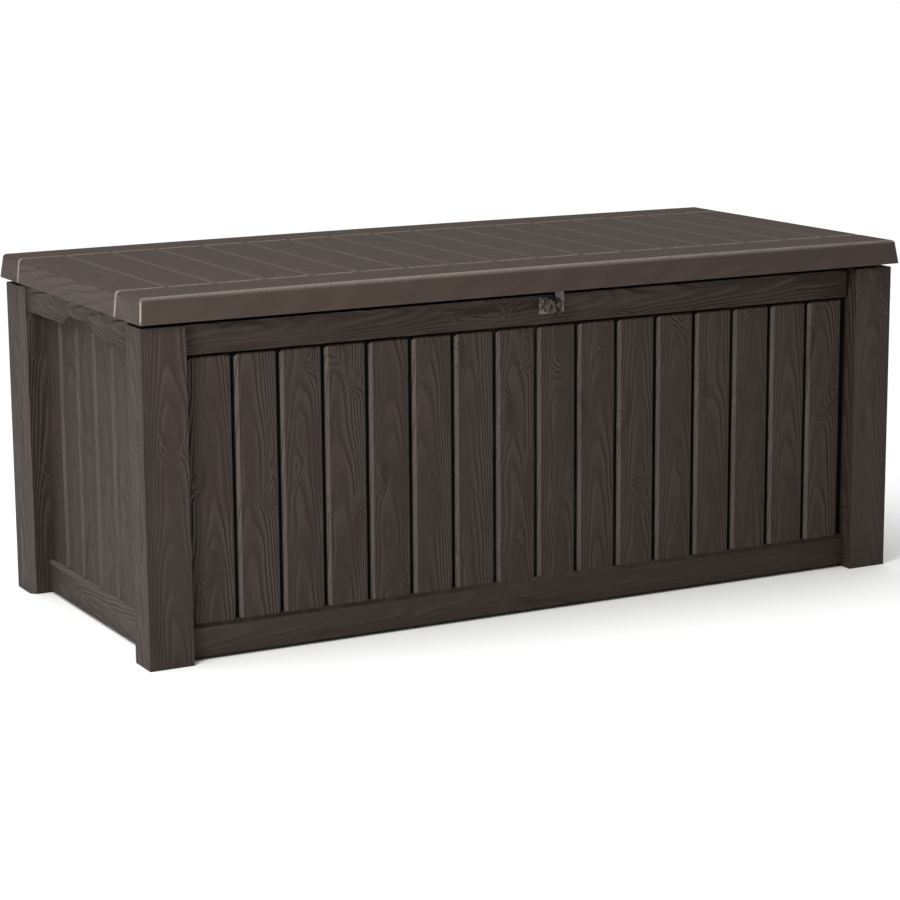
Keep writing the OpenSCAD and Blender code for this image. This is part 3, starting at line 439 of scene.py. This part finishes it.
def lidSkinMesh(low, high):
    p = lidPlan
    halfX, halfY = high.x, high.y
    pitch = 2 * (halfX - p["leanEnds"]) / p["planks"]
    frontY, rearY = -halfY + p["frontStrip"], halfY - p["rearStrip"]
    grooveX = [-halfX + p["leanEnds"] + i * pitch for i in range(1, p["planks"])]
    firstX = -halfX + p["leanEnds"]
    xs = sorted([x + p["grooveWidth"] * k for x in grooveX for k in (-0.5, -0.33, -0.17, 0, 0.17, 0.33, 0.5)]
                + [firstX + (i + k) * pitch for i in range(p["planks"]) for k in (0.3, 0.5, 0.7)]
                + [p["edge"] - halfX, halfX - p["edge"]])
    lips = [k * p["jointWidth"] for k in (-1, -0.5, -0.25, 0, 0.25, 0.5, 1)]
    ys = sorted([y + k for y in (frontY, rearY) for k in lips]
                + [frontY + (rearY - frontY) * i / 9 for i in range(1, 9)]
                + [-halfY + p["frontStrip"] * k for k in (0.3, 0.6)]
                + [halfY - p["rearStrip"] * k for k in (0.3, 0.6)]
                + [p["edge"] + 0.003 - halfY, halfY - p["edge"] - 0.003])
    rings = []
    for i in range(4):
        t = i / 4
        z = low.z + t * (high.z - p["shoulder"] - low.z)
        rings.append((p["leanEnds"] * t, p["leanSides"] * t, z, 1.0))
    for i in range(7):
        a = math.radians(i * 15)
        inset = p["shoulder"] * (1 - math.cos(a))
        rings.append((p["leanEnds"] + inset, p["leanSides"] + inset,
                      high.z - p["shoulder"] * (1 - math.sin(a)), 1 - i / 6))
    work = bmesh.new()

    def vertexAt(x, y, z):
        weight = (z - low.z) / (high.z - low.z)
        return work.verts.new((x, y, z - weight * p["crown"] * (x / halfX) ** 2))

    loops = []
    for insetX, insetY, z, share in rings:
        x1, y1, r = halfX - insetX, halfY - insetY, p["cornerRadius"] * share
        turns = [math.radians(a) for a in range(0, 91, 18)]
        corner = [(r * (1 - math.sin(a)), r * (1 - math.cos(a))) for a in turns]
        spots = [(x, -y1) for x in xs] + [(x1 - u, v - y1) for u, v in corner]
        spots += [(x1, y) for y in ys] + [(x1 - u, y1 - v) for u, v in reversed(corner)]
        spots += [(x, y1) for x in reversed(xs)] + [(u - x1, y1 - v) for u, v in corner]
        spots += [(-x1, y) for y in reversed(ys)] + [(u - x1, v - y1) for u, v in reversed(corner)]
        loops.append([vertexAt(x, y, z) for x, y in spots])
    for lower, upper in zip(loops, loops[1:]):
        for i in range(len(lower)):
            j = (i + 1) % len(lower)
            work.faces.new((lower[i], lower[j], upper[j], upper[i]))
    insetX, insetY = rings[-1][:2]
    allX = [insetX - halfX] + xs + [halfX - insetX]
    allY = [insetY - halfY] + ys + [halfY - insetY]
    grid = [[vertexAt(x, y, high.z) for x in allX] for y in allY]
    for j in range(len(allY) - 1):
        for i in range(len(allX) - 1):
            work.faces.new((grid[j][i], grid[j][i + 1], grid[j + 1][i + 1], grid[j + 1][i]))
    bmesh.ops.remove_doubles(work, verts=work.verts, dist=2e-5)
    bmesh.ops.recalc_face_normals(work, faces=work.faces)
    mesh = bpy.data.meshes.new("lidSkin")
    work.to_mesh(mesh)
    work.free()
    return mesh, pitch, frontY, rearY


def grooveTree():
    # sinks the grooves between planks and the two long joints, and gives their lips a painted highlight
    tree, start, end = newTree("lidGrooves", {
        "Pitch": ("Float", 0.09), "Groove Width": ("Float", 0.008), "Groove Depth": ("Float", 0.001),
        "Joint Width": ("Float", 0.002), "Joint Depth": ("Float", 0.0007), "Front Joint": ("Float", -0.2),
        "Rear Joint": ("Float", 0.2), "Field": ("Float", 0.7), "Top": ("Float", 0.63),
        "First": ("Float", 0.0)})
    size = start.outputs
    at = addNode(tree, "ShaderNodeSeparateXYZ", (addNode(tree, "GeometryNodeInputPosition"),)).outputs
    fromFirst = addNode(tree, "ShaderNodeMath", (at[0], size["First"]), operation="SUBTRACT")
    halfPitch = addNode(tree, "ShaderNodeMath", (size["Pitch"], 2.0), operation="DIVIDE")
    toGroove = addNode(tree, "ShaderNodeMath", (fromFirst, halfPitch), operation="PINGPONG")
    halfGroove = addNode(tree, "ShaderNodeMath", (size["Groove Width"], 2.0), operation="DIVIDE")
    groove = addNode(tree, "ShaderNodeMapRange", (toGroove, 0.0, halfGroove, 1.0, 0.0),
                     interpolation_type="SMOOTHSTEP")
    fromMiddle = addNode(tree, "ShaderNodeMath", (at[0],), operation="ABSOLUTE")
    inField = addNode(tree, "ShaderNodeMath", (fromMiddle, size["Field"]), operation="LESS_THAN")
    onTop = addNode(tree, "ShaderNodeMath", (at[2], size["Top"]), operation="GREATER_THAN")
    behindFront = addNode(tree, "ShaderNodeMath", (at[1], size["Front Joint"]), operation="GREATER_THAN")
    beforeRear = addNode(tree, "ShaderNodeMath", (at[1], size["Rear Joint"]), operation="LESS_THAN")
    gap = groove
    for limit in (inField, onTop):
        gap = addNode(tree, "ShaderNodeMath", (gap, limit), operation="MULTIPLY")
    groove = gap
    for limit in (behindFront, beforeRear):
        groove = addNode(tree, "ShaderNodeMath", (groove, limit), operation="MULTIPLY")
    toJoint = []
    for line in ("Front Joint", "Rear Joint"):
        away = addNode(tree, "ShaderNodeMath", (at[1], size[line]), operation="SUBTRACT")
        toJoint.append(addNode(tree, "ShaderNodeMath", (away,), operation="ABSOLUTE"))
    nearest = addNode(tree, "ShaderNodeMath", toJoint, operation="MINIMUM")
    joint = addNode(tree, "ShaderNodeMapRange", (nearest, 0.0, size["Joint Width"], 1.0, 0.0),
                    interpolation_type="SMOOTHSTEP")
    # a joint stops where a groove runs into it
    crossing = addNode(tree, "ShaderNodeMath", (gap, 3.0), operation="MULTIPLY")
    crossing = addNode(tree, "ShaderNodeMath", (crossing, 1.0), operation="MINIMUM")
    whole = addNode(tree, "ShaderNodeMath", (1.0, crossing), operation="SUBTRACT")
    joint = addNode(tree, "ShaderNodeMath", (joint, whole), operation="MULTIPLY")
    sink = addNode(tree, "ShaderNodeMath", (groove, size["Groove Depth"]), operation="MULTIPLY")
    sink = addNode(tree, "ShaderNodeMath", (joint, size["Joint Depth"], sink), operation="MULTIPLY_ADD")
    inward = addNode(tree, "ShaderNodeMath", (sink, -1.0), operation="MULTIPLY")
    shift = addNode(tree, "ShaderNodeVectorMath", {0: addNode(tree, "GeometryNodeInputNormal"), 3: inward},
                    operation="SCALE")
    moved = addNode(tree, "GeometryNodeSetPosition", {"Geometry": size["Geometry"], "Offset": shift})
    jointLit = addNode(tree, "ShaderNodeMath", (joint, lidPlan["jointWear"]), operation="MULTIPLY")
    grooveLit = addNode(tree, "ShaderNodeMath", (groove, lidPlan["grooveWear"]), operation="MULTIPLY")
    wear = addNode(tree, "ShaderNodeMath", (jointLit, grooveLit), operation="MAXIMUM")
    marked = addNode(tree, "GeometryNodeStoreNamedAttribute", {
        "Geometry": moved, "Name": "wear", "Value": wear}, data_type="FLOAT", domain="POINT")
    real = addNode(tree, "GeometryNodeRealizeInstances", {"Geometry": marked})
    painted = addNode(tree, "GeometryNodeSetMaterial", {"Geometry": real, "Material": lidResin})
    tree.links.new(painted.outputs[0], end.inputs[0])
    return tree


def lidBoard(c, n):
    # as for the walls, with the lid's strips along x and its planks along y
    p = lidPlan
    onEnd = abs(n.x) > 0.7
    if c.y < frontJoint or c.y > rearJoint:
        strip = firstBoard["lidStrips"] + (c.y > 0)
        if onEnd:
            return "y", Vector((c.x, 0, p["skirtMiddle"])), strip + 4
        middleY = (frontJoint - high.y) / 2 if c.y < 0 else (rearJoint + high.y) / 2
        return "x", Vector((0, middleY, p["skirtMiddle"])), strip
    if onEnd:
        return "y", Vector((c.x, 0, p["skirtMiddle"])), firstBoard["lidEnds"] + (c.x > 0)
    firstX = -high.x + p["leanEnds"]
    index = math.floor((c.x - firstX) / lidPitch)
    middle = Vector((firstX + (index + 0.5) * lidPitch, c.y, p["skirtMiddle"]))
    return "y", middle, firstBoard["lidPlanks"] + index


low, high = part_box("lid_top_shell")
skinMesh, lidPitch, frontJoint, rearJoint = lidSkinMesh(low, high)
blank = bpy.data.objects.new("lidBlank", skinMesh)
bpy.context.scene.collection.objects.link(blank)
lidMesh = runTree(blank, grooveTree(), {
    "Pitch": lidPitch, "Groove Width": lidPlan["grooveWidth"], "Groove Depth": lidPlan["grooveDepth"],
    "Joint Width": lidPlan["jointWidth"] * lidPlan["jointCore"], "Joint Depth": lidPlan["jointDepth"],
    "Front Joint": frontJoint, "Rear Joint": rearJoint, "Field": high.x - lidPitch / 2,
    "Top": high.z - lidPlan["topBand"],
    "First": -high.x + lidPlan["leanEnds"]})
bpy.data.objects.remove(blank)
sheenAndWearValues = lidMesh.attributes["wear"].data
# The front shoulder gets a painted sheen, and hands and rain rub its two corners most of all
for vertex in lidMesh.vertices:
    x, y, z = abs(vertex.co.x), vertex.co.y, vertex.co.z
    rise = (z - (high.z - lidPlan["shoulder"])) / lidPlan["shoulder"]
    sheenAndWear = 0.0
    if y < -high.y + lidPlan["edge"] + 0.001:
        sheenAndWear = lidPlan["shoulderWear"] * max(0.0, min(1.0, rise))
    lean = min(1.0, (z - low.z) / (high.z - lidPlan["shoulder"] - low.z))
    inX = high.x - lidPlan["leanEnds"] * lean - x
    inY = high.y - lidPlan["leanSides"] * lean + y
    if max(inX, inY) < lidPlan["cornerRadius"] / 2 and z > low.z + 0.002:
        sheenAndWear = lidPlan["cornerWear"]
    sheenAndWearValues[vertex.index].value = max(sheenAndWearValues[vertex.index].value, sheenAndWear)
layGrain(lidMesh, lidBoard, "z")
lidSkin = placed("lidSkin", lidMesh, lidResin, "lid", ["lid_top_shell"])
thick = lidSkin.modifiers.new("wall", "SOLIDIFY")
thick.thickness = lidPlan["wall"]
thick.offset = -1
roundEdges(lidSkin, lidPlan["lipRadius"], 2, 50)
print("lid skin made:", len(lidMesh.polygons), "faces")


# ---- screws ----

screwPlan = {"headRadius": 0.0045, "headHeight": 0.0024, "socket": 0.0016, "socketDepth": 0.0013,
             "shankRadius": 0.002, "shankLength": 0.0055, "sides": 24}


def screwMesh():
    # a pan head with a six-sided socket, its seat at the origin and its head up
    p = screwPlan
    work = bmesh.new()
    slopes = [math.radians(a) for a in (0, 22, 42, 58)]
    dome = [(p["headRadius"] * math.cos(a), p["headHeight"] * (0.35 + 0.65 * math.sin(a))) for a in slopes]
    outline = [(p["shankRadius"], -p["shankLength"]), (p["shankRadius"], 0.0), (p["headRadius"], 0.0)] + dome

    turns = [2 * math.pi * k / p["sides"] for k in range(p["sides"])]
    sixth = math.pi / 3

    def rowOf(radii, z):
        return [work.verts.new((r * math.cos(t), r * math.sin(t), z)) for r, t in zip(radii, turns)]

    hexRadii = [p["socket"] / math.cos((t + sixth / 2) % sixth - sixth / 2) for t in turns]
    rows = [rowOf([r] * p["sides"], z) for r, z in outline]
    rows += [rowOf(hexRadii, p["headHeight"] - sunk) for sunk in (0.0, p["socketDepth"])]
    for lower, upper in zip(rows, rows[1:]):
        for k in range(p["sides"]):
            j = (k + 1) % p["sides"]
            work.faces.new((lower[k], lower[j], upper[j], upper[k]))
    work.faces.new(list(reversed(rows[0])))
    work.faces.new(rows[-1])
    bmesh.ops.recalc_face_normals(work, faces=work.faces)
    mesh = bpy.data.meshes.new("screwPattern")
    work.to_mesh(mesh)
    work.free()
    return mesh


def screwSeats(names):
    # where each screw's head sits and which way it faces, read from the CAD solids
    seats = []
    for node in names:
        work = bmesh.new()
        work.from_mesh(cadNodes[node].data)
        bmesh.ops.remove_doubles(work, verts=work.verts, dist=2e-6)
        left = set(work.verts)
        while left:
            stack, island = [left.pop()], []
            while stack:
                vertex = stack.pop()
                island.append(vertex)
                for edge in vertex.link_edges:
                    other = edge.other_vert(vertex)
                    if other in left:
                        left.remove(other)
                        stack.append(other)
            points = np.array([v.co for v in island])
            lowest, highest = points.min(0), points.max(0)
            extent = highest - lowest
            axis = int(np.argmax(abs(extent - np.median(extent))))
            centre = (lowest + highest) / 2
            radial = np.delete(points - centre, axis, 1)
            rim = points[np.hypot(radial[:, 0], radial[:, 1]) > screwPlan["shankRadius"] * 1.5]
            facing = np.zeros(3)
            facing[axis] = math.copysign(1, rim[:, axis].mean() - centre[axis])
            seat = centre.copy()
            seat[axis] = rim[:, axis].min() if facing[axis] > 0 else rim[:, axis].max()
            seats.append((seat, facing))
        work.free()
    return seats


def screwTree():
    # a copy of the pattern on every seat, turned to face the way the seat does
    tree, start, end = newTree("screwsOnSeats", {"Pattern": ("Object", None), "Finish": ("Material", None)})
    facing = addNode(tree, "GeometryNodeInputNamedAttribute", {"Name": "facing"}, data_type="FLOAT_VECTOR")
    turn = addNode(tree, "FunctionNodeAlignRotationToVector", {"Vector": facing}, axis="Z")
    shape = addNode(tree, "GeometryNodeObjectInfo", {"Object": start.outputs["Pattern"]})
    points = addNode(tree, "GeometryNodeMeshToPoints", {"Mesh": start.outputs["Geometry"]})
    copies = addNode(tree, "GeometryNodeInstanceOnPoints", {
        "Points": points, "Instance": shape.outputs["Geometry"], "Rotation": turn})
    real = addNode(tree, "GeometryNodeRealizeInstances", {"Geometry": copies})
    painted = addNode(tree, "GeometryNodeSetMaterial", {
        "Geometry": real, "Material": start.outputs["Finish"]})
    tree.links.new(painted.outputs[0], end.inputs[0])
    return tree


pattern = bpy.data.objects.new("screwPattern", screwMesh())
bpy.context.scene.collection.objects.link(pattern)
screwNodes = screwTree()
for name, body, finish in (("boxScrews", "box", brightZinc), ("lidScrews", "lid", brightZinc),
                           ("haspWallScrews", "box", zincSheet), ("haspLidScrews", "lid", zincSheet)):
    onHasp = name.startswith("hasp")
    names = [n for n in sorted(cadNodes) if n.endswith("_screws") and bodyOf(n) == body
             and n.startswith("hasp") == onHasp]
    seats = screwSeats(names)
    mesh = bpy.data.meshes.new(name + "Seats")
    mesh.from_pydata([s[0] for s in seats], [], [])
    mesh.attributes.new("facing", "FLOAT_VECTOR", "POINT").data.foreach_set(
        "vector", np.array([s[1] for s in seats], np.float32).ravel())
    seatPiece = bpy.data.objects.new(name + "Seats", mesh)
    bpy.context.scene.collection.objects.link(seatPiece)
    result = runTree(seatPiece, screwNodes, {"Pattern": pattern, "Finish": finish})
    bpy.data.objects.remove(seatPiece)
    piece = placed(name, result, finish, body, names)
    result.polygons.foreach_set("use_smooth", [False] * len(result.polygons))
    print(name, "made:", len(seats), "screws")
bpy.data.objects.remove(pattern)


# ---- studio ----

studio = {"floorSize": 160.0, "floor": "#FBFBFA", "worldLight": 0.2, "skyPower": 2.85,
          "skySpread": 70, "skyPlace": (-1.0, 0.6, 5.0), "keyPower": 60.0,
          "keySize": 0.9, "keyPlace": (-2.4, -1.8, 1.7), "keyAim": (0.05, -0.2, 0.35)}


def aimed(thing, place, target):
    thing.location = place
    thing.rotation_euler = (Vector(target) - Vector(place)).to_track_quat("-Z", "Y").to_euler()


floorMesh = bpy.data.meshes.new("floor")
half = studio["floorSize"] / 2
floorCorners = [(-half, -half, 0), (half, -half, 0), (half, half, 0), (-half, half, 0)]
floorMesh.from_pydata(floorCorners, [], [(0, 1, 2, 3)])
floor = bpy.data.objects.new("floor", floorMesh)
bpy.context.scene.collection.objects.link(floor)
floorPaint, _, floorShader = newMaterial("paleFloor", 0.9)
floorShader.inputs["Base Color"].default_value = linearColour(studio["floor"])
floorShader.inputs["Specular IOR Level"].default_value = 0.2
floorMesh.materials.append(floorPaint)

world = bpy.data.worlds.new("studio")
world.use_nodes = True
world.node_tree.nodes["Background"].inputs[0].default_value = (1, 1, 1, 1)
world.node_tree.nodes["Background"].inputs[1].default_value = studio["worldLight"]
bpy.context.scene.world = world

# A wide, even ceiling light, and a small one beside it for the shadows
sky = bpy.data.objects.new("skyPanel", bpy.data.lights.new("skyPanel", "SUN"))
sky.data.energy = studio["skyPower"]
sky.data.angle = math.radians(studio["skySpread"])
bpy.context.scene.collection.objects.link(sky)
aimed(sky, studio["skyPlace"], (0, 0, 0))
key = bpy.data.objects.new("keyPanel", bpy.data.lights.new("keyPanel", "AREA"))
key.data.energy = studio["keyPower"]
key.data.size = studio["keySize"]
bpy.context.scene.collection.objects.link(key)
aimed(key, studio["keyPlace"], studio["keyAim"])

view = {"place": (-2.342, -4.368, 1.2495), "turn": 28.08, "tilt": 11.44, "roll": -0.39, "lens": 105.57,
        "sensor": 36, "reach": 400}
camera = bpy.data.objects.new("camera", bpy.data.cameras.new("camera"))
camera.data.lens = view["lens"]
camera.data.sensor_width = view["sensor"]
camera.data.clip_end = view["reach"]
bpy.context.scene.collection.objects.link(camera)
aim = Matrix.Identity(4)
for degrees, axis in ((-view["turn"], "Z"), (-view["tilt"], "X"), (-view["roll"], "Y"), (90, "X")):
    aim = aim @ Matrix.Rotation(math.radians(degrees), 4, axis)
camera.matrix_world = Matrix.Translation(view["place"]) @ aim
bpy.context.scene.camera = camera
bpy.context.scene.view_settings.view_transform = "Standard"
print("studio set")
